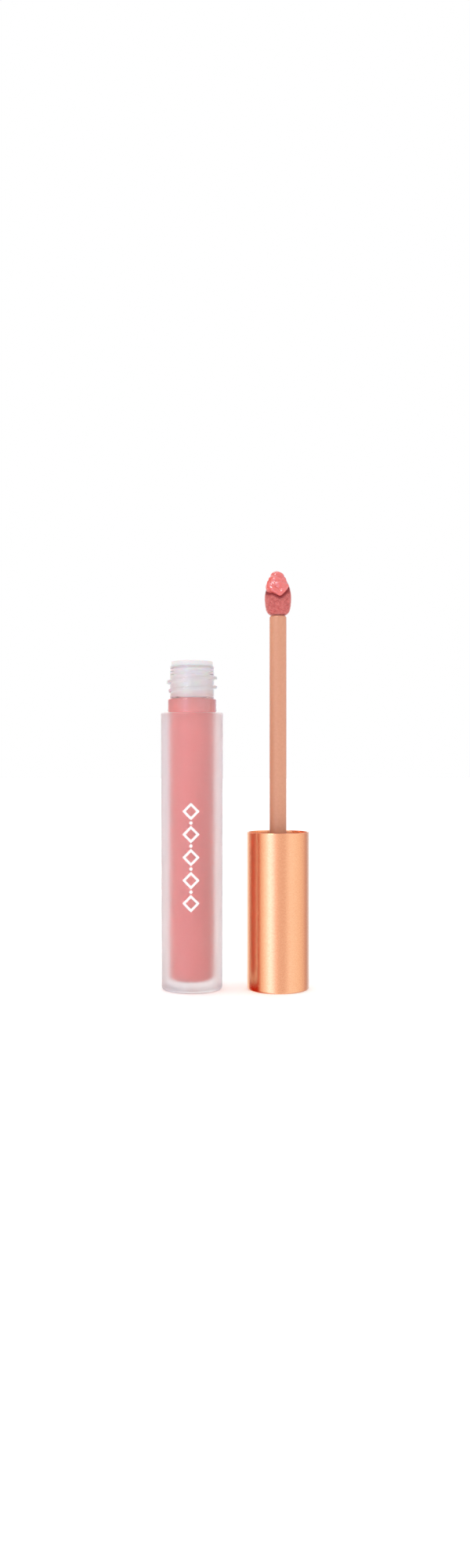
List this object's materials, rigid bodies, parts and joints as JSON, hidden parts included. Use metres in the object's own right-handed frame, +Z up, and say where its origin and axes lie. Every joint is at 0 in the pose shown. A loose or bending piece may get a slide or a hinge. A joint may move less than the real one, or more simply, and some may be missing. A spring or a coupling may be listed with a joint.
{
  "type": "lip gloss tube",
  "caption": "Opened lip gloss tube: a frosted, filled bottle with a threaded neck and wiper, beside its capped wand with a flocked tip.",
  "frame": {"origin": "midway between the bottle's axis and the applicator's axis, on the surface that both stand on", "axes": "+Z up, +X from the bottle to the applicator, +Y away from the printed mark"},
  "size_m": [0.0382, 0.016, 0.1079],
  "materials": {
    "frosted_bottle": "frosted outside on the body, clear and glossy on the collar and neck",
    "wiper_plastic": "natural translucent polyethylene",
    "gloss": "wet, creamy, high gloss",
    "white_ink": "opaque screen-printed ink, satin",
    "copper_shell": "satin rose-copper anodising over a fine grain",
    "nude_plastic": "satin moulded nude plastic",
    "tip_plastic": "soft moulded elastomer",
    "flock": "short flock, soaked with gloss"
  },
  "bodies": {
    "bottle": {"bottle": "frosted_bottle", "wiper": "wiper_plastic", "gloss_fill": "gloss", "printed_mark": "white_ink"},
    "applicator": {"cap_shell": "copper_shell", "inner_cap": "nude_plastic", "rod": "nude_plastic", "tip_stem": "tip_plastic"},
    "tip": {"tip_core": "tip_plastic", "tip_flock": "flock", "gloss_dollop": "gloss"}
  },
  "joints": [
    {"name": "applicator_lift", "type": "slide", "parent": "bottle", "child": "applicator", "axis": [0, 0, 1], "range_m": [0, 0.1]},
    {"name": "tip_flex", "type": "hinge", "parent": "applicator", "child": "tip", "pos_m": [0.0111, 0, 0.0966], "axis": [1, 0, 0], "range_deg": [-12, 12], "stiffness_Nm_per_rad": 0.01}
  ]
}
